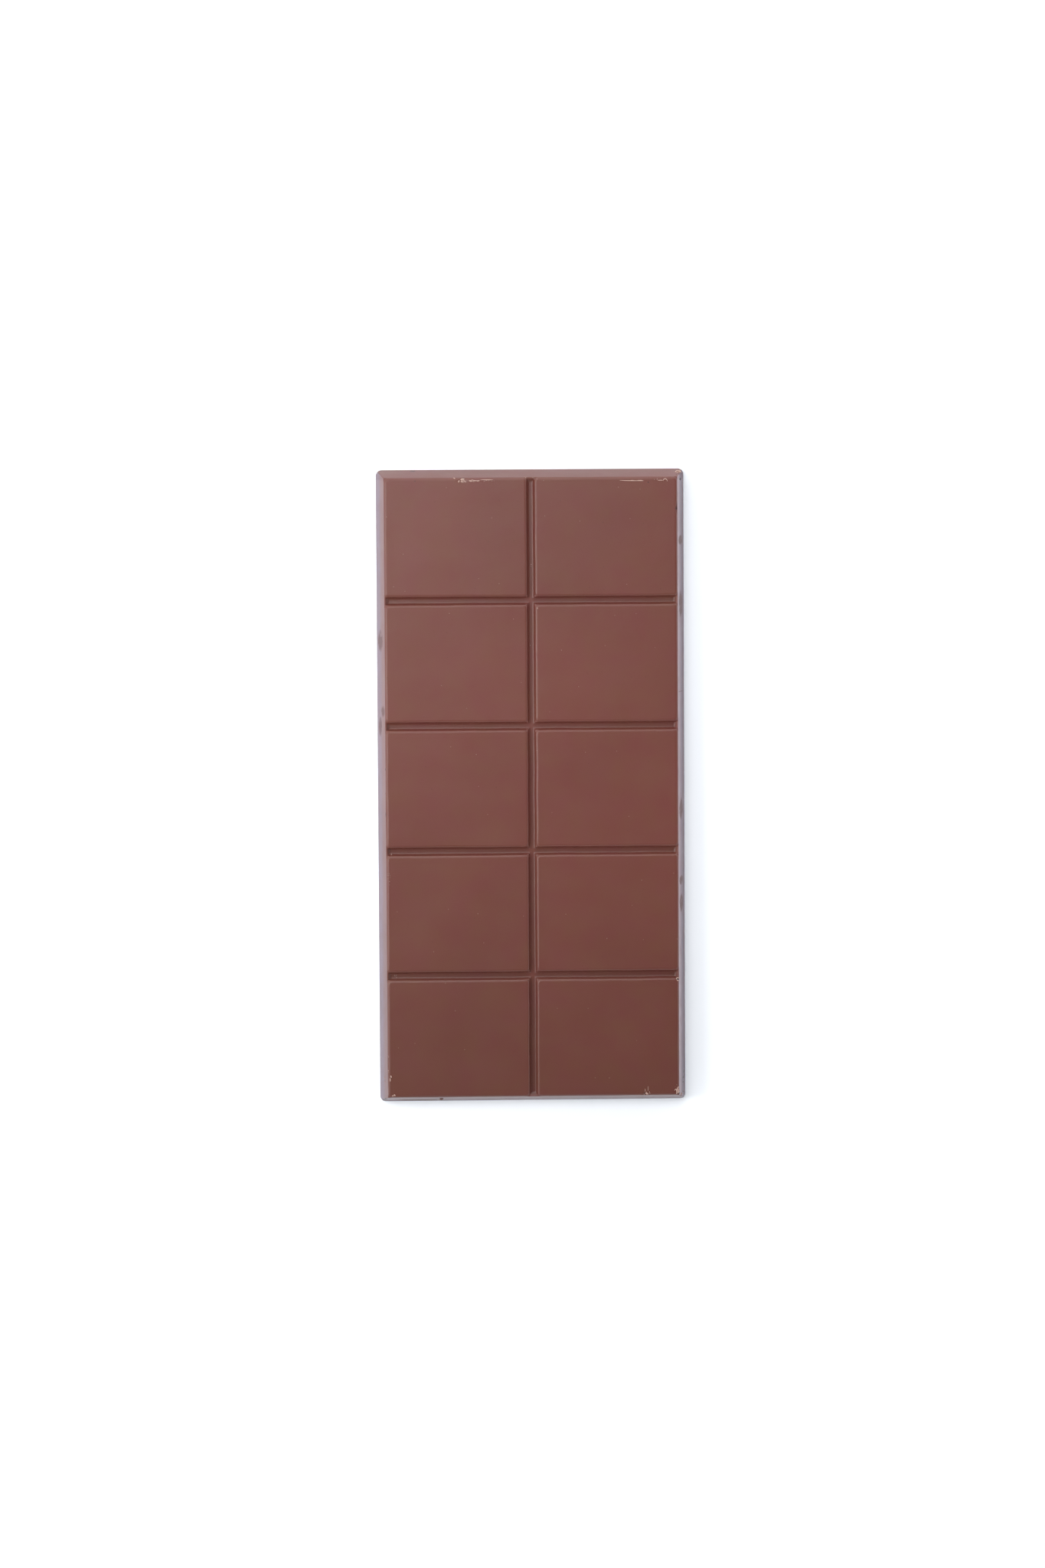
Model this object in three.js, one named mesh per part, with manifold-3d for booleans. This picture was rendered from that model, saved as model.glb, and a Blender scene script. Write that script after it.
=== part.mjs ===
// A moulded chocolate bar, cast in one piece: a flat slab with leaning sides and ten
// raised tiles, in two columns of five, parted by narrow break grooves.
//
// Millimetres, +Z up. The origin is the centre of the flat underside, +Y runs along the bar.

import * as THREE from 'three';
import { mergeVertices } from 'three/addons/utils/BufferGeometryUtils.js';
import Module from 'manifold-3d';

const wasm = await Module();
wasm.setup();

// Slab
const BAR_WIDTH = 75.0;
const BAR_LENGTH = 154.6;
const SLAB_HEIGHT = 7.6; // from the underside to the narrow shoulder round the tiles
const SIDE_RUN = 1.93; // how far each side leans in over that height
const OUTLINE_RADIUS = 1.4;
const FOOT_EDGE = 0.2; // soft lower edge, where the poured back met the mould
const RIM_EDGE = 0.12; // soft upper edge, between a side and the shoulder

// Tiles
const COLUMNS = 2;
const ROWS = 5;
const ROW_PITCH = 30.43;
const TILE_RISE = 0.4; // height of the tile tops above the shoulder
const SHOULDER_WIDTH = 0.05; // flat left between a side and the outer tile walls
const TILE_EDGE = 0.6; // soft upper edge of a tile
const TILE_RADIUS = 1.55; // plan radius of a tile's corners at its foot

// Break grooves
const GROOVE_DEPTH = 1.15; // below the tile tops
const GROOVE_FLOOR = 1.2; // between the feet of the two walls
const GROOVE_END = 2.8; // from the bar's outline to where a groove's floor stops
const WALL_DRAFT = THREE.MathUtils.degToRad(20);
const END_DRAFT = THREE.MathUtils.degToRad(42);
const FLOOR_FILLET = 0.3;

// Facets
const EDGE_STEPS = 4; // along each soft edge
const CORNER_STEPS = 3; // along each eighth of a turn, seen from above
const SHARP_RADIUS = 0.08; // what is left of a corner once its radius has run out
const BURIED_TOE = 0.02; // how far a fillet starts below the groove floor
const BURIED_FOOT = 1.0; // how far a tile reaches down into the slab
const BURIED_SIDE = 0.04; // how far it stays inside the slab's sides there
const CHANNEL_MARGIN = 0.05; // how far a channel's walls lie inside the tiles
const SAME_POINT = 1e-5; // points closer together than this are one

const TILE_TOP = SLAB_HEIGHT + TILE_RISE;
const GROOVE_Z = TILE_TOP - GROOVE_DEPTH;
const SIDE_LEAN = SIDE_RUN / (SLAB_HEIGHT - FOOT_EDGE);
const WALL_LEAN = Math.tan(WALL_DRAFT);
const WALL_AT_SHOULDER = (SLAB_HEIGHT - GROOVE_Z) * WALL_LEAN;

/** Points of a rectangle with round corners, centred on the origin, anticlockwise. */
function roundedRectangle(width, length, radius) {
  const x = width / 2 - radius;
  const y = length / 2 - radius;
  const outline = new THREE.Path();
  outline.absarc(x, y, radius, 0, Math.PI / 2, false);
  outline.absarc(-x, y, radius, Math.PI / 2, Math.PI, false);
  outline.absarc(-x, -y, radius, Math.PI, Math.PI * 1.5, false);
  outline.absarc(x, -y, radius, Math.PI * 1.5, Math.PI * 2, false);
  const points = outline.getPoints(CORNER_STEPS);
  if (points[0].distanceTo(points.at(-1)) < SAME_POINT) points.pop();
  return points;
}

/**
 * A closed block whose walls follow a profile. Each profile point gives, in x, how far the
 * outline has moved in from its largest size and, in y, the height of that ring.
 */
function loft(width, length, radius, profile) {
  const positions = [];
  const indices = [];
  const rings = profile.map(({ x: inset, y: z }) => {
    const corner = Math.max(radius - inset, SHARP_RADIUS);
    return roundedRectangle(width - 2 * inset, length - 2 * inset, corner).map(
      (p) => positions.push(p.x, p.y, z) / 3 - 1,
    );
  });
  const around = rings[0].length;
  for (let level = 1; level < rings.length; level += 1) {
    const below = rings[level - 1];
    const above = rings[level];
    for (let i = 0; i < around; i += 1) {
      const next = (i + 1) % around;
      indices.push(below[i], below[next], above[next]);
      indices.push(below[i], above[next], above[i]);
    }
  }
  const lowest = positions.push(0, 0, profile[0].y) / 3 - 1;
  const highest = positions.push(0, 0, profile.at(-1).y) / 3 - 1;
  for (let i = 0; i < around; i += 1) {
    const next = (i + 1) % around;
    indices.push(lowest, rings[0][next], rings[0][i]);
    indices.push(highest, rings.at(-1)[i], rings.at(-1)[next]);
  }
  const geometry = new THREE.BufferGeometry();
  geometry.setAttribute('position', new THREE.Float32BufferAttribute(positions, 3));
  geometry.setIndex(indices);
  return geometry;
}

/** The slab's side: soft foot, a straight lean inwards, and a soft rim at the shoulder. */
function slabProfile() {
  const side = new THREE.Path();
  side.moveTo(FOOT_EDGE, 0);
  side.quadraticCurveTo(0, 0, 0, FOOT_EDGE);
  side.lineTo(SIDE_RUN - RIM_EDGE * SIDE_LEAN, SLAB_HEIGHT - RIM_EDGE);
  side.quadraticCurveTo(SIDE_RUN, SLAB_HEIGHT, SIDE_RUN + RIM_EDGE, SLAB_HEIGHT);
  return side.getPoints(EDGE_STEPS);
}

/** The room inside the slab's sides, as if they leaned on past the tops of the tiles. */
function insideProfile() {
  return [
    new THREE.Vector2(BURIED_SIDE, FOOT_EDGE),
    new THREE.Vector2(BURIED_SIDE + TILE_TOP * SIDE_LEAN, FOOT_EDGE + TILE_TOP),
  ];
}

/** A tile's wall: buried foot, fillet at the groove floor, drafted wall and soft top edge. */
function tileProfile() {
  const wallFoot = FLOOR_FILLET;
  const wallTop = wallFoot + GROOVE_DEPTH * WALL_LEAN;
  const wall = new THREE.Path();
  wall.moveTo(0, GROOVE_Z - BURIED_FOOT);
  wall.lineTo(0, GROOVE_Z - BURIED_TOE);
  wall.quadraticCurveTo(
    wallFoot,
    GROOVE_Z,
    wallFoot + FLOOR_FILLET * WALL_LEAN,
    GROOVE_Z + FLOOR_FILLET,
  );
  wall.lineTo(wallTop - TILE_EDGE * WALL_LEAN, TILE_TOP - TILE_EDGE);
  wall.quadraticCurveTo(wallTop, TILE_TOP, wallTop + TILE_EDGE, TILE_TOP);
  return wall.getPoints(EDGE_STEPS);
}

/** A bar along Y, as high as the grooves need. Its half width is foot at their floor, and grows. */
function wedgeGeometry(foot, lean, run) {
  const clear = GROOVE_DEPTH * 2;
  const section = new THREE.Shape([
    new THREE.Vector2(-foot, GROOVE_Z),
    new THREE.Vector2(foot, GROOVE_Z),
    new THREE.Vector2(foot + clear * lean, GROOVE_Z + clear),
    new THREE.Vector2(-foot - clear * lean, GROOVE_Z + clear),
  ]);
  const bar = new THREE.ExtrudeGeometry(section, { depth: run, steps: 1, bevelEnabled: false });
  return bar.rotateX(Math.PI / 2).translate(0, run / 2, 0);
}

/** What a groove takes away along Y: drafted walls, and ends that slope up to the shoulder. */
function channel(barSize) {
  const walls = wedgeGeometry(GROOVE_FLOOR / 2 + CHANNEL_MARGIN, WALL_LEAN, barSize);
  const ends = wedgeGeometry(barSize / 2 - GROOVE_END, Math.tan(END_DRAFT), barSize);
  return toManifold(walls).intersect(toManifold(ends.rotateZ(Math.PI / 2)));
}

function toManifold(geometry) {
  const bare = geometry.clone();
  bare.deleteAttribute('normal');
  bare.deleteAttribute('uv');
  const merged = mergeVertices(bare, SAME_POINT);
  return new wasm.Manifold(
    new wasm.Mesh({
      numProp: 3,
      vertProperties: new Float32Array(merged.getAttribute('position').array),
      triVerts: new Uint32Array(merged.getIndex().array),
    }),
  );
}

function toGeometry(solid) {
  const { vertProperties, triVerts } = solid.getMesh();
  const geometry = new THREE.BufferGeometry();
  geometry.setAttribute('position', new THREE.Float32BufferAttribute(vertProperties, 3));
  geometry.setIndex(new THREE.Uint32BufferAttribute(triVerts, 1));
  geometry.computeVertexNormals();
  return geometry;
}

// The tile feet stop at the groove centre lines, less half a groove floor and its fillet. On the
// outside a wall crosses the shoulder's height one shoulder width in from the slab's rim.
const FOOT_TO_GROOVE = GROOVE_FLOOR / 2 - FLOOR_FILLET;
const FOOT_TO_RIM = SHOULDER_WIDTH - WALL_AT_SHOULDER - FLOOR_FILLET;
const COLUMN_GROOVES = [0];
const ROW_GROOVES = Array.from({ length: ROWS - 1 }, (_, i) => (i - (ROWS - 2) / 2) * ROW_PITCH);

/** Lowest and highest coordinate of each tile foot along one axis. */
function tileSpans(count, grooves, barSize) {
  const rim = barSize / 2 - SIDE_RUN - FOOT_TO_RIM;
  return Array.from({ length: count }, (_, i) => [
    i === 0 ? -rim : grooves[i - 1] + FOOT_TO_GROOVE,
    i === count - 1 ? rim : grooves[i] - FOOT_TO_GROOVE,
  ]);
}

function barGeometry() {
  let bar = toManifold(loft(BAR_WIDTH, BAR_LENGTH, OUTLINE_RADIUS, slabProfile()));
  for (const x of COLUMN_GROOVES) bar = bar.subtract(channel(BAR_LENGTH).translate([x, 0, 0]));
  for (const y of ROW_GROOVES) {
    bar = bar.subtract(channel(BAR_WIDTH).rotate([0, 0, 90]).translate([0, y, 0]));
  }
  const inside = toManifold(loft(BAR_WIDTH, BAR_LENGTH, OUTLINE_RADIUS, insideProfile()));
  const wall = tileProfile();
  for (const [left, right] of tileSpans(COLUMNS, COLUMN_GROOVES, BAR_WIDTH)) {
    for (const [near, far] of tileSpans(ROWS, ROW_GROOVES, BAR_LENGTH)) {
      const tile = loft(right - left, far - near, TILE_RADIUS, wall);
      tile.translate((left + right) / 2, (near + far) / 2, 0);
      bar = bar.add(toManifold(tile).intersect(inside));
    }
  }
  return toGeometry(bar);
}

const chocolate = new THREE.MeshStandardMaterial({
  color: 0x7e5249,
  roughness: 0.42,
  metalness: 0,
});

const bar = new THREE.Mesh(barGeometry(), chocolate);
bar.name = 'chocolate_bar';

const model = new THREE.Group();
model.add(bar);

export default model;
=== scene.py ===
import bpy
import numpy as np
from mathutils import Euler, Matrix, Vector


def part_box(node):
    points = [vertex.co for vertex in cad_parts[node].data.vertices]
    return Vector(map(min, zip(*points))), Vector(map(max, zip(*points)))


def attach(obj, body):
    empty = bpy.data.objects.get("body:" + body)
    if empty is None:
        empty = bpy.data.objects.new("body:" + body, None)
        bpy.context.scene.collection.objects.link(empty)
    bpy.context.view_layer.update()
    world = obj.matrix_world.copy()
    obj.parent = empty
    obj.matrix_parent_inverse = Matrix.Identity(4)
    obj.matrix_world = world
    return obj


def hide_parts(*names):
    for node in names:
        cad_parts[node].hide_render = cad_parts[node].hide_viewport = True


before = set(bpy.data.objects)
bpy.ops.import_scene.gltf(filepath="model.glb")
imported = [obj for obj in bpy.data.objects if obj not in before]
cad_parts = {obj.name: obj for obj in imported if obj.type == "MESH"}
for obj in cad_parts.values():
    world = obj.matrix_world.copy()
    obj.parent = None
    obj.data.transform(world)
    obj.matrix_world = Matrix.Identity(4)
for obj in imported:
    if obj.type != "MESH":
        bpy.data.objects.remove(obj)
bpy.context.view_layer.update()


# The camera stands high over the table and looks almost straight down with a long lens. It is
# a little past the bar's far end and left of its middle, so the far side shows widest.
mm = 0.001
CAMERA_AIM = Vector((-2.12 * mm, 0.57 * mm, 0.3 * mm))
CAMERA_DISTANCE = 1065 * mm
CAMERA_LENS = 100
CAMERA_TILT, CAMERA_LEAN, CAMERA_ROLL = np.radians([4.22, 1.64, 0.46])

camera = bpy.data.objects.new("camera", bpy.data.cameras.new("camera"))
bpy.context.scene.collection.objects.link(camera)
bpy.context.scene.camera = camera
camera.data.lens = CAMERA_LENS
camera_turn = Euler((-CAMERA_TILT, -CAMERA_LEAN, -CAMERA_ROLL), "ZYX")
camera.rotation_mode = "ZYX"
camera.rotation_euler = camera_turn
camera.location = CAMERA_AIM + camera_turn.to_matrix() @ Vector((0, 0, CAMERA_DISTANCE))


# The room is dark but for its walls: a pale band runs all round them, with a bright window low
# down past the far end and a wider band on the near side. A large soft box hangs high at the far
# left, and two small ones stand close by, on the left and past the far end.
ROOM_STRENGTH = 8.77
SOFT_BOXES = {
    "high_box": dict(place=Vector((-193, 193, 752)) * mm, size=400 * mm, power=2.7),
    "left_box": dict(place=Vector((-297, 0, 297)) * mm, size=160 * mm, power=0.76),
    "far_box": dict(place=Vector((0, 212, 212)) * mm, size=160 * mm, power=0.21),
}

# How bright the walls are at each height: nought is level with the table, one is overhead.
FAR_BANDS = {0.0: 1.0, 0.2: 0.0, 0.4: 0.317, 0.6: 0.0}
NEAR_BANDS = {0.2: 0.0, 0.4: 0.317, 0.6: 0.14, 0.8: 0.0}


def add_node(tree, kind, sockets, **settings):
    """A new shader node: its settings, then a value or link for each named or numbered socket."""
    node = tree.nodes.new("ShaderNode" + kind)
    for name, value in settings.items():
        setattr(node, name, value)
    for socket, value in sockets.items():
        if isinstance(value, bpy.types.NodeSocket):
            tree.links.new(value, node.inputs[socket])
        else:
            node.inputs[socket].default_value = value
    return node


def ramp(tree, share, stops):
    """The grey or colour that the stops give for a share from nought to one."""
    node = add_node(tree, "ValToRGB", {"Fac": share})
    elements = node.color_ramp.elements
    while len(elements) < len(stops):
        elements.new(1.0)
    for element, (place, colour) in zip(elements, stops.items()):
        element.position = place
        element.color = (*np.broadcast_to(colour, 3), 1)
    return node.outputs["Color"]


def blend(tree, share, first, second, way="MIX"):
    """Two colours mixed by a share, or the second laid over the first in another way."""
    first, second = [(*tone, 1) if isinstance(tone, tuple) else tone for tone in (first, second)]
    sockets = {0: share, 6: first, 7: second}
    node = add_node(tree, "Mix", sockets, data_type="RGBA", blend_type=way)
    return node.outputs[2]


for name, box in SOFT_BOXES.items():
    light = bpy.data.objects.new(name, bpy.data.lights.new(name, "AREA"))
    bpy.context.scene.collection.objects.link(light)
    light.location = box["place"]
    light.rotation_euler = (-box["place"]).to_track_quat("-Z", "Y").to_euler()
    light.data.size = box["size"]
    light.data.energy = box["power"]
    light.visible_camera = False

room = bpy.data.worlds.new("white_room")
room.use_nodes = True
sky = room.node_tree
toward = add_node(sky, "TexCoord", {}).outputs["Generated"]
toward = add_node(sky, "SeparateXYZ", {0: toward}).outputs
far_share = {"Value": toward["Y"], "From Min": -1.0, "From Max": 1.0}
far_share = add_node(sky, "MapRange", far_share).outputs[0]
bands = ramp(sky, toward["Z"], NEAR_BANDS), ramp(sky, toward["Z"], FAR_BANDS)
backdrop = sky.nodes["Background"].inputs
sky.links.new(blend(sky, far_share, *bands), backdrop["Color"])
backdrop["Strength"].default_value = ROOM_STRENGTH
bpy.context.scene.world = room
bpy.context.scene.view_settings.view_transform = "Standard"


# The bar is tempered milk chocolate, poured into a mould, shaken level and knocked out once set.
# The mould gives it leaning sides and ten raised tiles. Its back is the poured and scraped face.
low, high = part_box("chocolate_bar")
WIDTH, LENGTH, HEIGHT = high - low
SIDE_RUN = 1.93 * mm  # how far each side leans in
SIDE_STEEPNESS = 1.05  # at the foot, where the mean is one
SIDE_STRAIGHT_SHARE = 0.4  # of the run, before the side starts to round
SHOULDER_Z = 7.6 * mm
OUTLINE_RADIUS = 1.4 * mm
CORNER_STEEPNESS = 9.0  # rise over run of the cone that rounds the corners
CORNER_SOFTNESS = 0.3 * mm
LEFT_TAPER = 0.12 * mm  # how much further in the left edge lies at the far end
FOOT_EDGE = 0.2 * mm
RIM_SOFTNESS = 0.07 * mm
TILE_INSET = 2.08 * mm
TILE_EDGE_RADIUS = 0.65 * mm
TILE_CORNER = 0.85 * mm
CREASE_SOFTNESS = 0.05 * mm
ROW_PITCH = 30.43 * mm
GROOVE_DEPTH = 1.15 * mm
GROOVE_HALF_WIDTH = 1.02 * mm
GROOVE_FLOOR_RADIUS = 0.5 * mm
GROOVE_END_INSET = 2.8 * mm
GROOVE_END_SLOPE = 1.1
GROOVE_END_SOFTNESS = 0.2 * mm
WALL_DRAFT = np.radians(17)

WAVE_COUNT = 10
MOULD_WOBBLE = 0.02 * mm
WOBBLE_SIZE = 5 * mm
FACE_WAVES = 0.012 * mm
FACE_WAVE_SIZE = 9 * mm
BACK_RELIEF = 0.16 * mm
BACK_LEVEL_RIM = 4 * mm
SCRAPE_SIZE = 7 * mm
SCRAPE_STRETCH = 4.0

# Chips off the edges, in millimetres: middle, half sizes along x and y, and depth.
CHIP_RAGGEDNESS = 0.18
CHIP_RAG_SIZE = 0.5 * mm
CHIPS = [
    ((36.15, 76.05), (0.75, 0.6), 0.75),
    ((36.6, 75.3), (0.35, 0.8), 0.35),
    ((35.33, 67.8), (0.2, 1.3), 0.5),
    ((36.3, -75.6), (0.6, 0.5), 0.35),
    ((-35.4, -67.1), (0.16, 2.4), 0.14),
    ((-16.3, 74.8), (0.9, 0.45), 0.16),
    ((27.2, -75.0), (0.5, 0.35), 0.18),
    ((36.43, 74.75), (0.36, 0.4), 0.8),
]

EDGE_BAND, EDGE_STEPS = 3.4 * mm, 30
GROOVE_BAND, GROOVE_STEPS = 1.75 * mm, 30
TILE_STEPS_X, TILE_STEPS_Y = 60, 36
BACK_STEP = 3  # the back has every third grid line
BACK_INSET = 2 * FOOT_EDGE

GROOVE_Z = HEIGHT - GROOVE_DEPTH
WALL_LEAN = np.tan(WALL_DRAFT)
WALL_TURN = np.pi / 2 - WALL_DRAFT
FLOOR_ARC_RISE = GROOVE_FLOOR_RADIUS * (1 - np.cos(WALL_TURN))
FLOOR_ARC_RUN = GROOVE_FLOOR_RADIUS * np.sin(WALL_TURN)
GROOVE_FLAT = GROOVE_HALF_WIDTH - (GROOVE_DEPTH - FLOOR_ARC_RISE) * WALL_LEAN - FLOOR_ARC_RUN
COLUMN_GROOVES = [0.0]
ROW_GROOVES = [ROW_PITCH * place for place in (-1.5, -0.5, 0.5, 1.5)]


def tile_spans(grooves, size):
    """Where the tiles' walls would meet their tops if the edges were sharp: for each tile its
    lowest and highest coordinate, half a groove from the groove lines or in from the rim."""
    rim = size / 2 - TILE_INSET
    lows = [-rim] + [groove + GROOVE_HALF_WIDTH for groove in grooves]
    highs = [groove - GROOVE_HALF_WIDTH for groove in grooves] + [rim]
    return np.array([lows, highs])


def grid_lines(grooves, size, tile_steps):
    """Places of the grid lines along one axis: even steps in each band, small ones over the
    leaning sides and the grooves, larger ones over the flat of the tiles."""
    bands = [-size / 2, -size / 2 + EDGE_BAND]
    steps = [EDGE_STEPS]
    for groove in grooves:
        bands += [groove - GROOVE_BAND, groove + GROOVE_BAND]
        steps += [tile_steps, GROOVE_STEPS]
    bands += [size / 2 - EDGE_BAND, size / 2]
    steps += [tile_steps, EDGE_STEPS]
    parts = [
        np.linspace(start, stop, count, endpoint=False)
        for start, stop, count in zip(bands, bands[1:], steps)
    ]
    return np.append(np.concatenate(parts), size / 2)


def round_box(x_beyond, y_beyond, radius):
    """Distance outside a rectangle with round corners, negative inside. It is the length of
    what is beyond the corner's centre in x and y, less the radius."""
    x, y = x_beyond + radius, y_beyond + radius
    return np.hypot(np.maximum(x, 0), np.maximum(y, 0)) + np.minimum(np.maximum(x, y), 0) - radius


def soft_min(a, b, reach):
    """The lower of two heights, with the corner between them filled by a parabola where they
    differ by less than the reach."""
    overlap = np.maximum(reach - np.abs(a - b), 0)
    return np.minimum(a, b) - overlap**2 / (4 * reach)


def beyond_spans(values, spans):
    """How far each value lies outside the nearest span, negative inside one."""
    lows, highs = spans
    return np.maximum(lows - values[..., None], values[..., None] - highs).min(axis=-1)


def tile_wall(outward):
    """Height of a tile at a distance outward from its sharp edge: flat top, then a round of the
    edge radius, then the straight wall that leans by the draft."""
    along = outward + TILE_EDGE_RADIUS * np.tan(WALL_TURN / 2)
    round_part = np.sqrt(np.maximum(TILE_EDGE_RADIUS**2 - along**2, 0))
    edge = HEIGHT - TILE_EDGE_RADIUS + round_part
    wall = HEIGHT - outward / WALL_LEAN
    on_edge = along < TILE_EDGE_RADIUS * np.sin(WALL_TURN)
    return np.where(along < 0, HEIGHT, np.where(on_edge, edge, wall))


def groove_bed(across, past_end):
    """Height of a groove's bed from the distance to its line and the distance past its end: a
    narrow flat, an arc of the floor radius on either side, then the wall. Past its end the bed
    is no lower than a straight ramp."""
    out = np.maximum(across - GROOVE_FLAT, 0)
    arc = GROOVE_FLOOR_RADIUS - np.sqrt(np.maximum(GROOVE_FLOOR_RADIUS**2 - out**2, 0))
    wall = FLOOR_ARC_RISE + (out - FLOOR_ARC_RUN) / WALL_LEAN
    rise = np.where(out < FLOOR_ARC_RUN, arc, wall)
    return GROOVE_Z - soft_min(-rise, -past_end * GROOVE_END_SLOPE, GROOVE_END_SOFTNESS)


def ground_height(x, y):
    """Height of what the tiles stand on: the shoulder, or a groove's bed where that is lower."""
    across_columns = beyond_spans(x, np.array([COLUMN_GROOVES, COLUMN_GROOVES]))
    across_rows = beyond_spans(y, np.array([ROW_GROOVES, ROW_GROOVES]))
    long_bed = groove_bed(across_columns, np.abs(y) - LENGTH / 2 + GROOVE_END_INSET)
    cross_bed = groove_bed(across_rows, np.abs(x) - WIDTH / 2 + GROOVE_END_INSET)
    return np.minimum(np.minimum(long_bed, cross_bed), SHOULDER_Z)


COLUMN_SPANS = tile_spans(COLUMN_GROOVES, WIDTH)
ROW_SPANS = tile_spans(ROW_GROOVES, LENGTH)


def soft_waves(x, y, size, seed):
    """Unevenness of about plus or minus one: a sum of plane sine waves with seeded headings and
    phases, and with lengths from one to three times the size."""
    draw = np.random.default_rng(seed)
    heading, phase = draw.uniform(0, 2 * np.pi, (2, WAVE_COUNT))
    pitch = 2 * np.pi / (size * draw.uniform(1, 3, WAVE_COUNT))
    across = np.multiply.outer(x, pitch * np.cos(heading))
    along = np.multiply.outer(y, pitch * np.sin(heading))
    return np.sin(across + along + phase).sum(axis=-1) / np.sqrt(WAVE_COUNT / 2)


def smooth_step(low, high, value):
    """Nought below the low value, one above the high one, and a cubic between them."""
    share = np.clip((value - low) / (high - low), 0, 1)
    return share**2 * (3 - 2 * share)


def side_height(x, y):
    """Height of the leaning sides, which meet in mitres. The distance in from the nearest one, as
    a share of its run, is a share of its height: steeper than the mean at the foot, then falling
    off by a parabola, so that the side rounds towards its rim. At the corners a steep cone from
    the round outline cuts the mitres off."""
    beyond_x, beyond_y = np.abs(x) - WIDTH / 2, np.abs(y) - LENGTH / 2
    inward = -np.maximum(beyond_x, beyond_y) / SIDE_RUN
    cone = -round_box(beyond_x, beyond_y, OUTLINE_RADIUS) * CORNER_STEEPNESS
    curved = 1 - SIDE_STRAIGHT_SHARE
    past = inward - SIDE_STRAIGHT_SHARE
    bend = np.clip(past, 0, curved)
    share = SIDE_STEEPNESS * inward - (SIDE_STEEPNESS - 1) / curved**2 * bend * (2 * past - bend)
    return FOOT_EDGE + soft_min(share * (SHOULDER_Z - FOOT_EDGE), cone, CORNER_SOFTNESS)


def chipped_depth(x, y):
    """How much has broken off. Each chip is a bowl: its depth times one less the square of the
    distance, in half sizes, from its middle. Waves make its outline ragged."""
    ragged = 1 + CHIP_RAGGEDNESS * soft_waves(x, y, CHIP_RAG_SIZE, seed=5)
    deepest = 0 * x
    for middle, half, depth in CHIPS:
        away = np.hypot((x / mm - middle[0]) / half[0], (y / mm - middle[1]) / half[1]) * ragged
        deepest = np.maximum(deepest, depth * mm * np.maximum(1 - away**2, 0))
    return deepest


def bar_height(x, y):
    """Height of the moulded face: the leaning side, capped by the shoulder, grooves and tiles,
    all a little uneven, less what has chipped off."""
    rows = x + MOULD_WOBBLE * soft_waves(x, y, WOBBLE_SIZE, seed=1)
    columns = y + MOULD_WOBBLE * soft_waves(x, y, WOBBLE_SIZE, seed=2)
    beyond_x, beyond_y = beyond_spans(rows, COLUMN_SPANS), beyond_spans(columns, ROW_SPANS)
    tiles = tile_wall(round_box(beyond_x, beyond_y, TILE_CORNER))
    top = -soft_min(-tiles, -ground_height(rows, columns), CREASE_SOFTNESS)
    waves = FACE_WAVES * soft_waves(x, y, FACE_WAVE_SIZE, seed=3)
    return soft_min(side_height(x, y), top + waves, RIM_SOFTNESS) - chipped_depth(x, y)


def back_height(x, y):
    """Height of the poured back: level along its rim, and hollowed a little inside it by waves
    that a scraper has drawn out along x."""
    to_rim = np.minimum(WIDTH / 2 - np.abs(x), LENGTH / 2 - np.abs(y))
    scraped = soft_waves(x / SCRAPE_STRETCH, y, SCRAPE_SIZE, seed=4) ** 2
    return BACK_RELIEF * scraped / 2 * smooth_step(0, BACK_LEVEL_RIM, to_rim)


def round_corners(x, y, radius):
    """Bends the corners of a rectangular grid onto round ones. In each corner's square the
    larger of the two distances from its centre becomes a radius, their ratio an angle."""
    centre_x, centre_y = np.abs(x).max() - radius, np.abs(y).max() - radius
    along_x, along_y = np.maximum(np.abs(x) - centre_x, 0), np.maximum(np.abs(y) - centre_y, 0)
    out, less = np.maximum(along_x, along_y), np.minimum(along_x, along_y)
    angle = np.pi / 4 * np.divide(less, out, out=np.zeros_like(out), where=out > 0)
    far, near = out * np.cos(angle), out * np.sin(angle)
    steep = along_y > along_x
    x_part, y_part = np.where(steep, near, far), np.where(steep, far, near)
    corner = (along_x > 0) & (along_y > 0)
    x = np.where(corner, np.sign(x) * (centre_x + x_part), x)
    y = np.where(corner, np.sign(y) * (centre_y + y_part), y)
    return x, y


def grid_faces(numbers):
    """The four corners of each cell of a grid of vertex numbers, anticlockwise from above."""
    corners = numbers[:-1, :-1], numbers[:-1, 1:], numbers[1:, 1:], numbers[1:, :-1]
    return np.stack(corners, axis=-1).reshape(-1, 4)


def grid_rim(numbers):
    """The border of a grid of vertex numbers as one anticlockwise ring."""
    near, right, far, left = numbers[0], numbers[:, -1], numbers[-1, ::-1], numbers[::-1, 0]
    return np.concatenate([near[:-1], right[:-1], far[:-1], left[:-1]])


def ring_faces(lower, upper):
    """Quads between two rings of equal length, facing outward."""
    return np.stack([lower, np.roll(lower, -1), np.roll(upper, -1), upper], axis=-1)


def fill_mesh(name, points, faces):
    """A smooth-shaded mesh from an array of points and a list of face arrays."""
    mesh = bpy.data.meshes.new(name)
    sizes = np.concatenate([np.full(len(part), part.shape[1]) for part in faces])
    mesh.vertices.add(len(points))
    mesh.vertices.foreach_set("co", points.astype(np.float32).ravel())
    mesh.loops.add(int(sizes.sum()))
    mesh.loops.foreach_set("vertex_index", np.concatenate([part.ravel() for part in faces]))
    mesh.polygons.add(len(sizes))
    mesh.polygons.foreach_set("loop_start", np.cumsum(sizes) - sizes)
    mesh.polygons.foreach_set("use_smooth", np.ones(len(sizes), bool))
    mesh.update(calc_edges=True)
    mesh.validate()
    piece = bpy.data.objects.new(name, mesh)
    bpy.context.scene.collection.objects.link(piece)
    return piece


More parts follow.
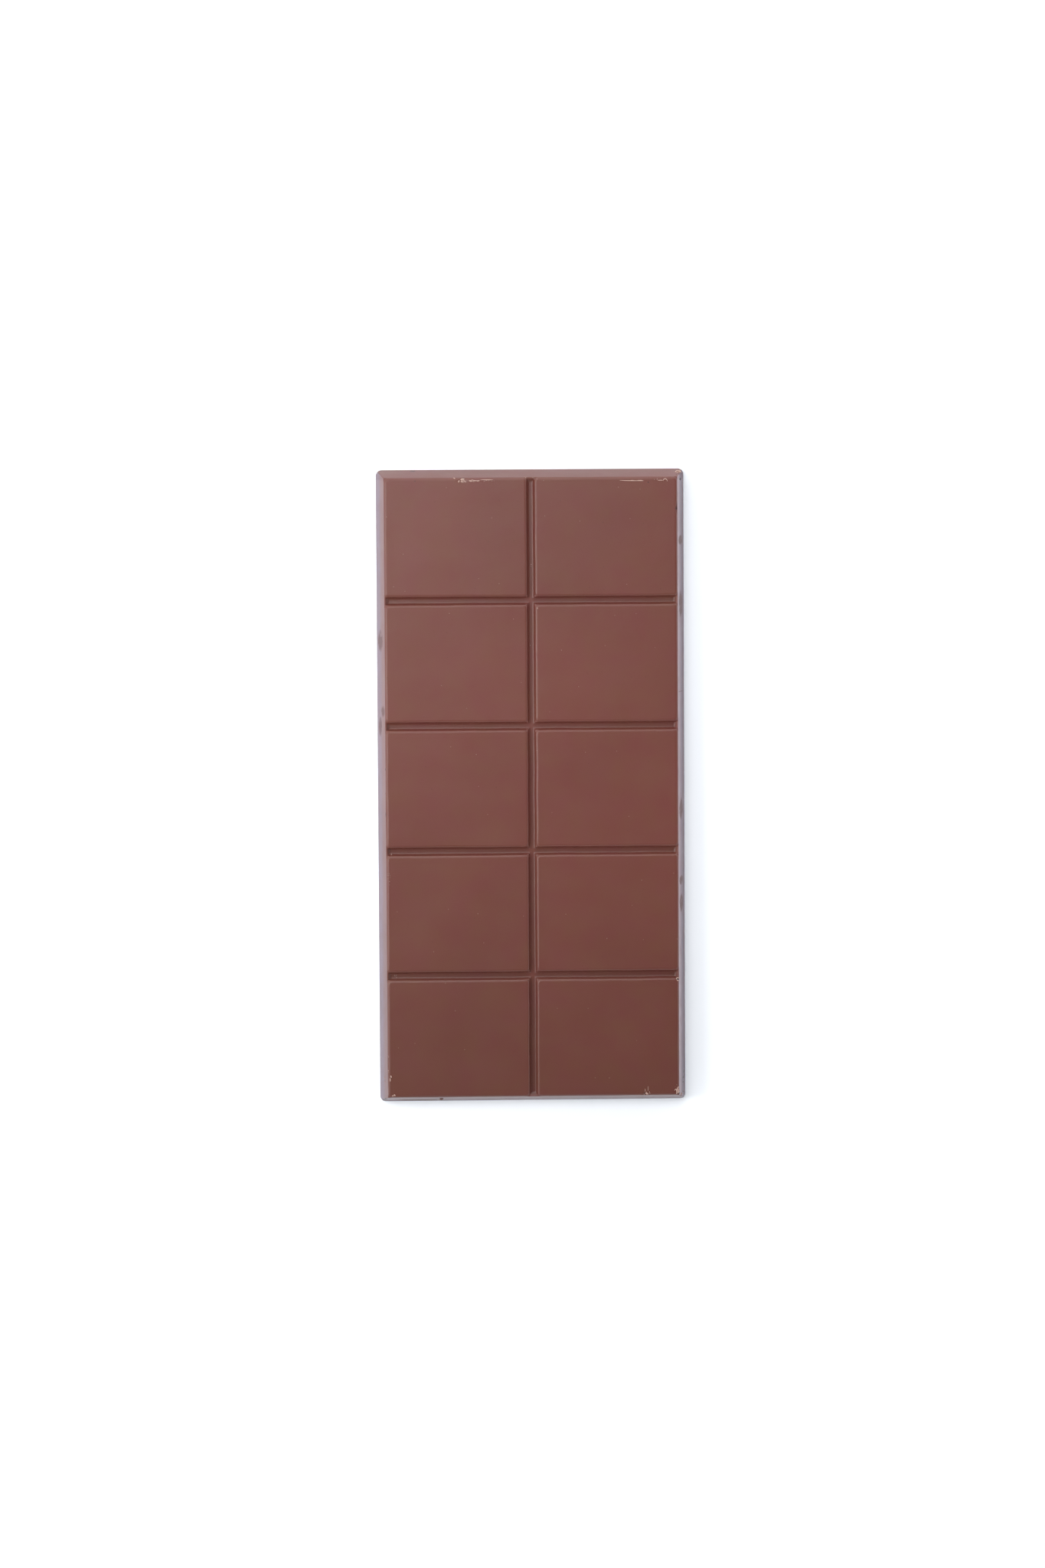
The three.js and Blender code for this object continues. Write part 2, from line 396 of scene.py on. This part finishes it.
lines_x = grid_lines(COLUMN_GROOVES, WIDTH, TILE_STEPS_X)
lines_y = grid_lines(ROW_GROOVES, LENGTH, TILE_STEPS_Y)
face_x, face_y = round_corners(*np.meshgrid(lines_x, lines_y), OUTLINE_RADIUS)
face_z = bar_height(face_x, face_y)
face_x -= np.minimum(face_x / (WIDTH / 2), 0) * LEFT_TAPER * (face_y / LENGTH + 0.5)
face_points = np.stack([face_x, face_y, face_z], axis=-1)
face_numbers = np.arange(face_x.size).reshape(face_x.shape)
rim = grid_rim(face_numbers)

inset = 1 - 2 * FOOT_EDGE / np.array([WIDTH, LENGTH])
foot_points = face_points.reshape(-1, 3)[rim] * [*inset, 0]
foot = face_numbers.size + np.arange(len(rim))

back_scale = 1 - 2 * BACK_INSET / np.array([WIDTH, LENGTH])
back_x, back_y = face_x[::BACK_STEP, ::BACK_STEP], face_y[::BACK_STEP, ::BACK_STEP]
back_x, back_y = back_x * back_scale[0], back_y * back_scale[1]
back_points = np.stack([back_x, back_y, back_height(back_x, back_y)], axis=-1)
back_numbers = face_numbers.size + len(rim) + np.arange(back_x.size).reshape(back_x.shape)
back_rim = grid_rim(back_numbers)
nearest = np.arange(len(rim)) // BACK_STEP
inner, inner_next = back_rim[nearest], back_rim[np.roll(nearest, -1)]
same = inner == inner_next
stitch = np.stack([inner, inner_next, np.roll(foot, -1), foot], axis=-1)

bar = fill_mesh(
    "chocolate_bar_moulded",
    np.concatenate([face_points.reshape(-1, 3), foot_points, back_points.reshape(-1, 3)]),
    [
        grid_faces(face_numbers),
        ring_faces(foot, rim),
        grid_faces(back_numbers)[:, ::-1],
        stitch[~same],
        stitch[same][:, [0, 2, 3]],
    ],
)

# The painted sheen stands in for the grey-violet reflection that a pale room leaves on the
# leaning sides: it is painted into their colour.
LEFT_PAINTED_SHEEN, LEFT_RIM_PAINTED_SHEEN, RIGHT_PAINTED_SHEEN, NEAR_PAINTED_SHEEN = 0.27, 0.06, 0.28, 0.1
LEFT_SHEEN_FADE, LEFT_SHEEN_TONE = (0.3, 0.8), 0.57
# Painted shade: a dark line painted along the foot of the right and near sides, where the bar
# meets the table.
FOOT_PAINTED_SHADE, FOOT_PAINTED_SHADE_TOP = 0.8, 0.16
FAR_SIDE_FADE = 0.7 * mm


def painted_side_sheen(x, y, z):
    """How much painted sheen, a painted reflection of the room, lies on a leaning side, and its
    tone, which is the height as a share of the side's. On the left it thins on the way up, and no
    tone is lower than just over half way. On the right and near sides it thickens towards the
    foot, where it turns to painted shade. The far side has none."""
    share = z / SHOULDER_Z
    # painted shade along the foot
    foot = FOOT_PAINTED_SHADE * (1 - smooth_step(0, FOOT_PAINTED_SHADE_TOP, share))
    left = LEFT_PAINTED_SHEEN + (LEFT_RIM_PAINTED_SHEEN - LEFT_PAINTED_SHEEN) * smooth_step(*LEFT_SHEEN_FADE, share)
    inward = [x + WIDTH / 2, WIDTH / 2 - x, y + LENGTH / 2, LENGTH / 2 - y]
    side = np.argmin(inward, axis=0)
    right, near = np.maximum(RIGHT_PAINTED_SHEEN, foot), np.maximum(NEAR_PAINTED_SHEEN, foot)
    painted_sheen = np.choose(side, [left, right, near, 0])
    tone = np.where(side == 0, np.maximum(share, LEFT_SHEEN_TONE), share)
    return painted_sheen * (np.min(inward, axis=0) < SIDE_RUN), tone


def paint(piece, name, values):
    """Keeps one number for each point of a mesh, for its material to read."""
    layer = piece.data.attributes.new(name, "FLOAT", "POINT")
    layer.data.foreach_set("value", values.astype(np.float32).ravel())


places = np.empty(len(bar.data.vertices) * 3)
bar.data.vertices.foreach_get("co", places)
bar_x, bar_y, bar_z = places.reshape(-1, 3).T
painted_sheen_amount, tone_height = painted_side_sheen(bar_x, bar_y, bar_z)
moulded = np.arange(len(bar_z)) < face_numbers.size
side_rim = LENGTH / 2 - SIDE_RUN
paint(bar, "painted_sheen", painted_sheen_amount * moulded)
paint(bar, "painted_sheen_tone", tone_height)
paint(bar, "far_side", smooth_step(side_rim - FAR_SIDE_FADE, side_rim, bar_y) * moulded)

REDDISH, OLIVE = (0.1235, 0.0334, 0.0272), (0.1195, 0.0376, 0.0248)
# Painted shade along the bar: its colour is darkened towards the near end, where less light
# reaches, and a little near the far end.
PAINTED_FALLOFF_TONE = {
    0.0: (0.82, 0.9, 0.9),
    0.31: (0.945, 0.985, 0.975),
    0.5: 1.0,
    0.7: 1.0,
    0.9: (0.935, 0.94, 0.94),
}
# Tones of the painted sheen by height: a pale painted reflection high up, darker lower down, and
# near black at the foot, where it is painted shade.
PAINTED_SHEEN_TONES = {
    0.15: (0.0, 0.02, 0.09),
    0.5: (0.1, 0.16, 0.29),
    0.65: (0.3, 0.3, 0.42),
    0.9: (0.66, 0.6, 0.71),
}
SMEAR_DARK = (0.075, 0.034, 0.032)
SPECK_PALE = (0.3, 0.19, 0.155)
# Painted shade in the hollows of pits and pinholes.
PIT_PAINTED_SHADE = (0.02, 0.008, 0.007)
COCOA_BUTTER_IOR = 1.45
BLOTCH_SIZE = 6 * mm
CLOUD_SIZE, CLOUD_RANGE = 24 * mm, (0.955, 1.045)
SHEEN_PATCH, SHEEN_RANGE = 2.5 * mm, (0.8, 1.2)
ROUGH_PATCH, ROUGH_RANGE = CLOUD_SIZE / 3, (0.335, 0.385)
FAR_ROUGHER, SMEAR_ROUGHER = 0.1, 0.25
GRAIN_SIZE, GRAIN_RELIEF = 0.35 * mm, 0.004 * mm
RIPPLE_SIZE, RIPPLE_RELIEF = 2.6 * mm, 0.009 * mm
SPECK_SPACING, SPECK_RADIUS, SPECK_SHARE = 8 * mm, 0.12 * mm, 0.4
PINHOLE_SPACING, PINHOLE_RADIUS, PINHOLE_SHARE = SPECK_SPACING / 1.5, 0.1 * mm, 0.3
TILE_TOP_BAND = 0.1 * mm  # specks and pinholes are only this near the tile tops
MARK_WOBBLE, MARK_RAG_SIZE = 0.3 * mm, 0.5 * mm
SMEAR_PATCH, SMEAR_RANGE, SMEAR_MOST = 1.6 * mm, (0.4, 2.6), 0.6
PIT_STEEPNESS, PIT_DEPTH = 2.0, 0.1 * mm  # it is full halfway in from its edge
PINHOLE_DEPTH = PIT_DEPTH / 2
NOISE_LOW, NOISE_HIGH = 0.3, 0.7

# Smears where fingers and the wrapper have rubbed, and pits, whose hollows are painted dark as
# painted shade: middle and half sizes along x, y and z, in millimetres.
SMEARS = [
    ((36.5, 60.0, 4.5), (0.9, 1.3, 4)),
    ((36.5, 44.5, 4.5), (0.8, 3.6, 4)),
    ((36.3, 23.2, 4), (1.2, 0.1, 5)),
    ((36.4, -5.4, 4.5), (0.8, 2.9, 4)),
    ((36.4, -22.9, 4.5), (0.8, 1.3, 4)),
    ((36.4, -28.5, 4.5), (0.8, 2.4, 4)),
    ((-36.6, 36.0, 4), (0.9, 2.9, 4)),
    ((-36.1, 18.9, 6), (0.6, 1.5, 3)),
    ((-36.8, 15.1, 4), (0.5, 2.8, 4)),
    ((-28.0, -76.6, 3.5), (6.5, 0.5, 4)),
    ((26.7, -76.4, 4), (1.8, 0.2, 4)),
]
PITS = [
    ((36.43, 74.75, 4.3), (0.36, 0.38, 4)),
    ((36.1, 76.05, 5.7), (0.65, 0.25, 1.2)),
    ((36.95, 76.6, 4), (0.2, 0.45, 2)),
    ((35.28, 67.7, 7.8), (0.26, 0.4, 0.5)),
    ((28.48, 74.02, 8), (0.2, 0.16, 0.3)),
    ((-16.2, 75.2, 7.8), (0.18, 0.16, 0.4)),
    ((36.95, -70.3, 2.4), (0.16, 0.5, 4)),
    ((36.8, -71.6, 3), (0.26, 0.34, 4)),
    ((36.75, -72.8, 3), (0.26, 0.28, 4)),
    ((35.25, -46.92, 7.7), (0.3, 0.28, 1.2)),
    ((26.95, -74.92, 7.8), (0.24, 0.2, 0.5)),
    ((35.65, -74.92, 7.6), (0.26, 0.2, 0.6)),
    ((36.6, -75.7, 5.5), (0.26, 0.24, 1)),
    ((-35.55, 4.9, 7.7), (0.15, 0.5, 0.5)),
    ((-35.6, -6.0, 7.7), (0.15, 0.9, 0.5)),
    ((-28.4, 76.95, 1.5), (0.75, 0.16, 3)),
    ((-27.9, 74.6, 8), (0.15, 0.15, 0.3)),
    ((-36.95, -76.75, 2.2), (0.38, 0.32, 3)),
    ((-36.5, -76.35, 3.9), (0.38, 0.3, 3)),
    ((-36.0, -75.95, 5.6), (0.36, 0.28, 3)),
]


def new_material(name):
    """A new material with its node tree and its Principled shader."""
    material = bpy.data.materials.new(name)
    material.use_nodes = True
    return material, material.node_tree, material.node_tree.nodes["Principled BSDF"]


def sum_of(tree, first, *others, way="ADD"):
    """Numbers added up, or joined in another way."""
    for other in others:
        first = add_node(tree, "Math", {0: first, 1: other}, operation=way).outputs[0]
    return first


def mottle(tree, here, size, low, high, detail=2.0):
    """Soft noise in patches of a size, its middle range stretched from a low to a high value."""
    noise = add_node(tree, "TexNoise", {"Vector": here, "Scale": 1 / size, "Detail": detail})
    sockets = {"From Min": NOISE_LOW, "From Max": NOISE_HIGH, "To Min": low, "To Max": high}
    return add_node(tree, "MapRange", {"Value": noise.outputs[0], **sockets}).outputs[0]


def marked(tree, here, marks):
    """Nought outside a few ellipsoids, rising to one at the middle of each: one less the least
    of the distances from their middles, measured in half sizes."""
    nearest = 1.0
    for middle, half in marks:
        scale = Vector([1 / (size * mm) for size in half])
        offset = Vector([-place / size for place, size in zip(middle, half)])
        sockets = {0: here, 1: scale, 2: offset}
        away = add_node(tree, "VectorMath", sockets, operation="MULTIPLY_ADD").outputs[0]
        length = add_node(tree, "VectorMath", {0: away}, operation="LENGTH").outputs["Value"]
        nearest = sum_of(tree, length, nearest, way="MINIMUM")
    return sum_of(tree, 1.0, nearest, way="SUBTRACT")


def dotted(tree, here, spacing, radius, kept):
    """Small round dots on the tile tops, one in each cell of a scattered pattern, in the share
    of the cells that is kept."""
    sockets = {"Vector": here, "Scale": 1 / spacing}
    cells = add_node(tree, "TexVoronoi", sockets, voronoi_dimensions="2D").outputs
    edge = {"Value": cells["Distance"], "From Min": radius / spacing, "From Max": 0.0}
    dot = add_node(tree, "MapRange", edge).outputs[0]
    drawn = sum_of(tree, cells["Color"], kept, way="LESS_THAN")
    height = add_node(tree, "SeparateXYZ", {0: here}).outputs["Z"]
    on_top = sum_of(tree, height, HEIGHT - TILE_TOP_BAND, way="GREATER_THAN")
    return sum_of(tree, dot, drawn, on_top, way="MULTIPLY")


chocolate, tree, shader = new_material("tempered_chocolate")
here = add_node(tree, "TexCoord", {}).outputs["Object"]
painted_sheen = add_node(tree, "Attribute", {}, attribute_name="painted_sheen").outputs["Fac"]
painted_sheen_tone = add_node(tree, "Attribute", {}, attribute_name="painted_sheen_tone").outputs["Fac"]
far_side = add_node(tree, "Attribute", {}, attribute_name="far_side").outputs["Fac"]

rag = add_node(tree, "TexNoise", {"Vector": here, "Scale": 1 / MARK_RAG_SIZE, "Detail": 3.0})
wobble = {
    0: rag.outputs["Color"],
    1: Vector([MARK_WOBBLE] * 3),
    2: Vector([-MARK_WOBBLE / 2] * 3),
}
shift = add_node(tree, "VectorMath", wobble, operation="MULTIPLY_ADD").outputs[0]
ragged = add_node(tree, "VectorMath", {0: here, 1: shift}, operation="ADD").outputs[0]
worn = mottle(tree, here, SMEAR_PATCH, *SMEAR_RANGE, detail=4.0)
smear = sum_of(tree, marked(tree, ragged, SMEARS), worn, way="MULTIPLY")
smear = sum_of(tree, smear, SMEAR_MOST, way="MINIMUM")
pit = sum_of(tree, marked(tree, ragged, PITS), PIT_STEEPNESS, way="MULTIPLY")
pit = sum_of(tree, pit, 1.0, way="MINIMUM")
speck = dotted(tree, ragged, SPECK_SPACING, SPECK_RADIUS, SPECK_SHARE)
pinhole = dotted(tree, here, PINHOLE_SPACING, PINHOLE_RADIUS, PINHOLE_SHARE)

axes = add_node(tree, "SeparateXYZ", {0: here}).outputs
reach = {"Value": axes["Y"], "From Min": -LENGTH / 2, "From Max": LENGTH / 2}
along = add_node(tree, "MapRange", reach).outputs[0]
colour = blend(tree, mottle(tree, here, BLOTCH_SIZE, 0.0, 1.0, detail=5.0), REDDISH, OLIVE)
clouds = mottle(tree, here, CLOUD_SIZE, *CLOUD_RANGE, detail=3.0)
colour = blend(tree, 1.0, colour, clouds, "MULTIPLY")
# painted shade along the bar
colour = blend(tree, 1.0, colour, ramp(tree, along, PAINTED_FALLOFF_TONE), "MULTIPLY")
# The painted sheen, broken into patches and wiped off where the sides are smeared.
clean = sum_of(tree, 1.0, smear, way="SUBTRACT")
patchy = mottle(tree, here, SHEEN_PATCH, *SHEEN_RANGE, detail=4.0)
painted_sheen = sum_of(tree, painted_sheen, patchy, clean, way="MULTIPLY")
colour = blend(tree, painted_sheen, colour, ramp(tree, painted_sheen_tone, PAINTED_SHEEN_TONES))
colour = blend(tree, smear, colour, SMEAR_DARK)
colour = blend(tree, speck, colour, SPECK_PALE)
# Pits and pinholes are painted near black: painted shade in their hollows.
colour = blend(tree, sum_of(tree, pit, pinhole, way="MAXIMUM"), colour, PIT_PAINTED_SHADE)
tree.links.new(colour, shader.inputs["Base Color"])

roughness = mottle(tree, here, ROUGH_PATCH, *ROUGH_RANGE, detail=4.0)
far_rougher = sum_of(tree, far_side, FAR_ROUGHER, way="MULTIPLY")
smear_rougher = sum_of(tree, smear, SMEAR_ROUGHER, way="MULTIPLY")
roughness = sum_of(tree, roughness, far_rougher, smear_rougher)
tree.links.new(roughness, shader.inputs["Roughness"])

relief = sum_of(
    tree,
    mottle(tree, here, GRAIN_SIZE, 0.0, GRAIN_RELIEF),
    mottle(tree, here, RIPPLE_SIZE, 0.0, RIPPLE_RELIEF),
    sum_of(tree, pit, -PIT_DEPTH, way="MULTIPLY"),
    sum_of(tree, pinhole, -PINHOLE_DEPTH, way="MULTIPLY"),
)
bumps = add_node(tree, "Bump", {"Height": relief, "Distance": 1.0, "Strength": 1.0})
tree.links.new(bumps.outputs[0], shader.inputs["Normal"])
shader.inputs["IOR"].default_value = COCOA_BUTTER_IOR
bar.data.materials.append(chocolate)
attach(bar, "root")
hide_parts("chocolate_bar")


# Loose crumbs are broken bits of the same chocolate. They lie where the bar was knocked out and
# handled: along the outer tile edges, in the ends of the grooves and at the corners.
CRUMB_RINGS, CRUMB_SIDES = 4, 7
CRUMB_SEED = 11
CRUMB_RISE = 0.15  # of its size, from the face up to its middle
CRUMB_SIZES, CRUMB_RAGGEDNESS = (0.6, 1.4), (0.7, 1.25)
CRUMB_SQUASH = [0.6, 0.6, 0.45], [1.3, 1.3, 0.8]

# Scatters of crumbs: middle and half spread in millimetres, number, mean size in millimetres
# and paleness.
CRUMB_SCATTERS = [
    ((-16.5, 74.5), (0.9, 0.25), 22, 0.2, 1.0),
    ((-13.4, 74.6), (1.2, 0.14), 14, 0.18, 1.1),
    ((-10.0, 74.65), (1.4, 0.12), 9, 0.16, 1.0),
    ((0.0, 75.2), (1.6, 0.35), 12, 0.2, 0.5),
    ((36.2, 76.1), (0.6, 0.4), 8, 0.2, 0.55),
    ((30.3, 74.7), (0.4, 0.12), 3, 0.17, 0.6),
    ((0.0, 54.2), (0.15, 0.3), 2, 0.16, 0.7),
    ((-0.1, 34.7), (0.15, 0.3), 2, 0.16, 0.7),
    ((1.5, 43.8), (0.1, 0.15), 2, 0.16, 0.8),
    ((-35.6, -2.9), (0.12, 8.0), 10, 0.13, 0.5),
    ((-34.2, -15.8), (0.12, 0.1), 2, 0.2, 0.8),
    ((-35.0, -22.8), (0.4, 3.8), 12, 0.13, 0.6),
    ((-33.3, -45.9), (0.5, 0.6), 10, 0.2, 0.35),
    ((35.4, -47.0), (0.4, 0.4), 5, 0.15, 0.7),
    ((-35.37, -65.2), (0.1, 0.3), 3, 0.18, 0.7),
    ((-36.4, -70.8), (0.12, 0.12), 2, 0.22, 0.9),
    ((-36.3, -71.7), (0.1, 0.2), 3, 0.2, 0.9),
    ((-35.4, -68.8), (0.1, 0.3), 3, 0.18, 0.7),
    ((-34.9, -70.3), (0.15, 0.3), 3, 0.18, 0.7),
    ((-34.1, -74.8), (0.2, 0.15), 3, 0.17, 0.6),
    ((-22.6, -76.0), (0.1, 0.05), 2, 0.5, 0.0),
    ((27.5, -74.95), (0.9, 0.6), 9, 0.15, 0.8),
    ((36.2, -75.4), (0.6, 0.5), 12, 0.22, 0.55),
    ((34.9, -73.4), (0.4, 0.8), 4, 0.14, 0.6),
]


def closed_pieces(name, rings, poles):
    """One mesh of many small closed pieces. Each has a row of rings, anticlockwise as seen from
    its last pole, with quads from ring to ring and a fan of triangles to the pole at each end."""
    pieces, count, around = rings.shape[:3]
    numbers = np.arange(count * around).reshape(count, around)
    sides = np.concatenate([ring_faces(*pair) for pair in zip(numbers, numbers[1:])])
    first, last = numbers[0], numbers[-1]
    poles_at = np.full((2, around), [[count * around], [count * around + 1]])
    fans = np.concatenate(
        [
            np.stack([np.roll(first, -1), first, poles_at[0]], axis=-1),
            np.stack([last, np.roll(last, -1), poles_at[1]], axis=-1),
        ]
    )
    start = (np.arange(pieces) * (count * around + 2))[:, None, None]
    points = np.concatenate([rings.reshape(pieces, -1, 3), poles], axis=1)
    faces = [(start + sides).reshape(-1, 4), (start + fans).reshape(-1, 3)]
    return fill_mesh(name, points.reshape(-1, 3), faces)


def crumb_forms(centres, sizes, draw):
    """Rings and poles of angular crumbs: balls squashed by seeded amounts along each axis, with
    every point moved in or out by a seeded share of the radius."""
    down = np.linspace(0, np.pi, CRUMB_RINGS + 2)[1:-1, None]
    turn = np.linspace(0, 2 * np.pi, CRUMB_SIDES, endpoint=False)
    ball = [np.sin(down) * np.cos(turn), np.sin(down) * np.sin(turn), -np.cos(down) + 0 * turn]
    radii = draw.uniform(*CRUMB_RAGGEDNESS, (len(sizes), CRUMB_RINGS, CRUMB_SIDES, 1))
    squash = draw.uniform(*CRUMB_SQUASH, (len(sizes), 3)) * sizes[:, None] / 2
    rings = centres[:, None, None] + squash[:, None, None] * np.stack(ball, axis=-1) * radii
    tips = squash[:, None] * np.array([[0, 0, -1], [0, 0, 1]])
    return rings, centres[:, None] + tips


counts = [scatter[2] for scatter in CRUMB_SCATTERS]
columns = [np.repeat(column, counts, axis=0) for column in zip(*CRUMB_SCATTERS)]
middles, spreads, _, mean_sizes, paleness = columns
draw = np.random.default_rng(CRUMB_SEED)
crumb_x, crumb_y = (middles + spreads * draw.uniform(-1, 1, middles.shape)).T * mm
sizes = mean_sizes * draw.uniform(*CRUMB_SIZES, len(mean_sizes)) * mm
crumb_z = bar_height(crumb_x, crumb_y) + CRUMB_RISE * sizes
centres = np.stack([crumb_x, crumb_y, crumb_z], axis=-1)
crumbs = closed_pieces("loose_crumbs", *crumb_forms(centres, sizes, draw))
paint(crumbs, "paleness", np.repeat(paleness, CRUMB_RINGS * CRUMB_SIDES + 2))

BROKEN_BROWN, BROKEN_PALE = (0.12, 0.045, 0.035), (0.42, 0.28, 0.235)
BROKEN_GRAIN, BROKEN_RANGE = 0.3 * mm, (0.5, 1.4)
BROKEN_ROUGHNESS = 0.55

broken, tree, shader = new_material("broken_chocolate")
here = add_node(tree, "TexCoord", {}).outputs["Object"]
pale = add_node(tree, "Attribute", {}, attribute_name="paleness").outputs["Fac"]
grain = mottle(tree, here, BROKEN_GRAIN, *BROKEN_RANGE, detail=3.0)
pale = sum_of(tree, pale, grain, way="MULTIPLY")
tree.links.new(blend(tree, pale, BROKEN_BROWN, BROKEN_PALE), shader.inputs["Base Color"])
shader.inputs["Roughness"].default_value = BROKEN_ROUGHNESS
crumbs.data.materials.append(broken)
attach(crumbs, "root")


# Slivers of chocolate are scraped up where an edge was caught. Each is a fraction of a
# millimetre wide, and lies along the edge that it came from.
SLIVER_STEPS, SLIVER_SIDES = 14, 6
SLIVER_THICKNESS = 0.7  # of its width
SLIVER_RISE = 0.15  # of its width, from the face up to its middle
SLIVER_PALENESS = 1.2

# Widths, and points along each sliver, in millimetres.
SLIVERS = [
    (0.24, [(-18.6, 75.4), (-18.4, 75.25), (-18.15, 75.15)]),
    (0.34, [(-16.95, 74.85), (-16.4, 75.02), (-15.9, 75.05)]),
    (0.3, [(-16.35, 75.0), (-16.5, 74.75), (-16.55, 74.4)]),
    (0.28, [(-16.15, 74.95), (-16.05, 74.7), (-15.85, 74.45)]),
    (0.26, [(-17.2, 74.7), (-17.35, 74.5), (-17.3, 74.3)]),
    (0.3, [(-14.85, 74.68), (-14.45, 74.56), (-14.05, 74.52)]),
    (0.16, [(-14.17, 75.01), (-13.71, 74.73), (-12.79, 74.63), (-12.42, 74.82)]),
    (0.13, [(-12.2, 74.82), (-10.6, 74.86), (-8.9, 74.8)]),
    (0.16, [(21.4, 74.56), (24.2, 74.44), (27.5, 74.42)]),
    (0.24, [(24.1, 74.45), (24.6, 74.46), (25.1, 74.43)]),
    (0.24, [(25.8, 74.42), (26.5, 74.45), (27.3, 74.4)]),
    (0.13, [(30.8, 74.46), (31.5, 74.5), (32.1, 74.46)]),
    (0.17, [(32.15, 74.3), (32.35, 74.78), (32.85, 74.75), (33.12, 74.15)]),
    (0.55, [(35.25, 76.35), (35.75, 76.6), (36.35, 76.55), (36.75, 76.3)]),
    (0.3, [(35.5, 76.15), (36.0, 76.3), (36.5, 76.2)]),
    (0.3, [(27.2, -74.8), (27.55, -74.85), (27.95, -75.0)]),
    (0.2, [(27.45, -74.5), (27.55, -74.85), (27.6, -75.25)]),
    (0.12, [(27.93, -73.1), (27.9, -73.7), (27.92, -74.3)]),
    (0.12, [(27.18, -73.7), (27.2, -74.1), (27.17, -74.45)]),
    (0.28, [(34.35, -74.3), (34.75, -73.95), (34.95, -74.5), (34.75, -75.15)]),
    (0.3, [(35.5, -73.3), (35.15, -73.8), (35.3, -74.4), (35.0, -74.95)]),
    (0.24, [(35.5, -73.9), (35.6, -74.4), (35.35, -74.8)]),
    (0.2, [(35.9, -75.1), (36.3, -75.55), (36.75, -75.9)]),
    (0.22, [(35.0, -46.95), (35.05, -46.62), (35.45, -46.6), (35.6, -46.95)]),
    (0.16, [(35.02, -47.1), (35.3, -47.25), (35.55, -47.1)]),
    (0.28, [(-34.98, -69.85), (-34.8, -70.1), (-34.88, -70.35)]),
    (0.2, [(-35.06, -70.5), (-35.02, -70.9), (-35.06, -71.4)]),
    (0.28, [(-34.1, -74.5), (-33.97, -74.7), (-33.75, -74.85)]),
    (0.2, [(-34.65, -74.95), (-34.45, -74.83), (-34.25, -74.95)]),
]


def sliver_form(width, path):
    """Rings and poles of one sliver. Its middle line is the polynomial through its points, laid
    on the bar's face. The oval across it swells from nothing at both ends by a half circle."""
    knots = np.linspace(0, 1, len(path))
    along = np.linspace(0, 1, SLIVER_STEPS + 2)
    fits = np.polynomial.polynomial.polyfit(knots, np.array(path) * mm, len(path) - 1)
    x, y = np.polynomial.polynomial.polyval(along, fits)
    middle = np.stack([x, y, bar_height(x, y) + SLIVER_RISE * width * mm], axis=-1)
    heading = np.gradient(middle[:, :2], axis=0)
    heading /= np.linalg.norm(heading, axis=1, keepdims=True)
    across = np.stack([-heading[:, 1], heading[:, 0], 0 * x], axis=-1)[:, None]
    turn = np.linspace(0, 2 * np.pi, SLIVER_SIDES, endpoint=False)[:, None]
    oval = across * np.cos(turn) + SLIVER_THICKNESS * np.sin(turn) * np.array([0, 0, 1])
    swell = np.sqrt(1 - (2 * along - 1) ** 2) * width * mm / 2
    rings = middle[:, None] + swell[:, None, None] * oval
    return rings[1:-1], middle[[0, -1]]


rings, poles = zip(*[sliver_form(*sliver) for sliver in SLIVERS])
slivers = closed_pieces("scraped_slivers", np.array(rings), np.array(poles))
paint(slivers, "paleness", np.full(len(slivers.data.vertices), SLIVER_PALENESS))
slivers.data.materials.append(broken)
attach(slivers, "root")


# The table is a plain matt white sheet, far larger than the bar. It glows faintly, though it is
# no
# lamp: painted light that only fills the shade at the bar's foot a little.
TABLE_HALF = 8.0
TABLE_COLOUR = (0.885, 0.91, 0.955)
TABLE_ROUGHNESS = 0.8
TABLE_GLOW, TABLE_GLOW_STRENGTH = (0.07, 0.085, 0.09), 1.0

table_corners = np.array([[-1, -1, 0], [1, -1, 0], [1, 1, 0], [-1, 1, 0]]) * TABLE_HALF
table = fill_mesh("table_top", table_corners, [np.array([[0, 1, 2, 3]])])
table_white, tree, shader = new_material("white_table")
shader.inputs["Base Color"].default_value = (*TABLE_COLOUR, 1)
shader.inputs["Roughness"].default_value = TABLE_ROUGHNESS
shader.inputs["Emission Color"].default_value = (*TABLE_GLOW, 1)
shader.inputs["Emission Strength"].default_value = TABLE_GLOW_STRENGTH
table.data.materials.append(table_white)
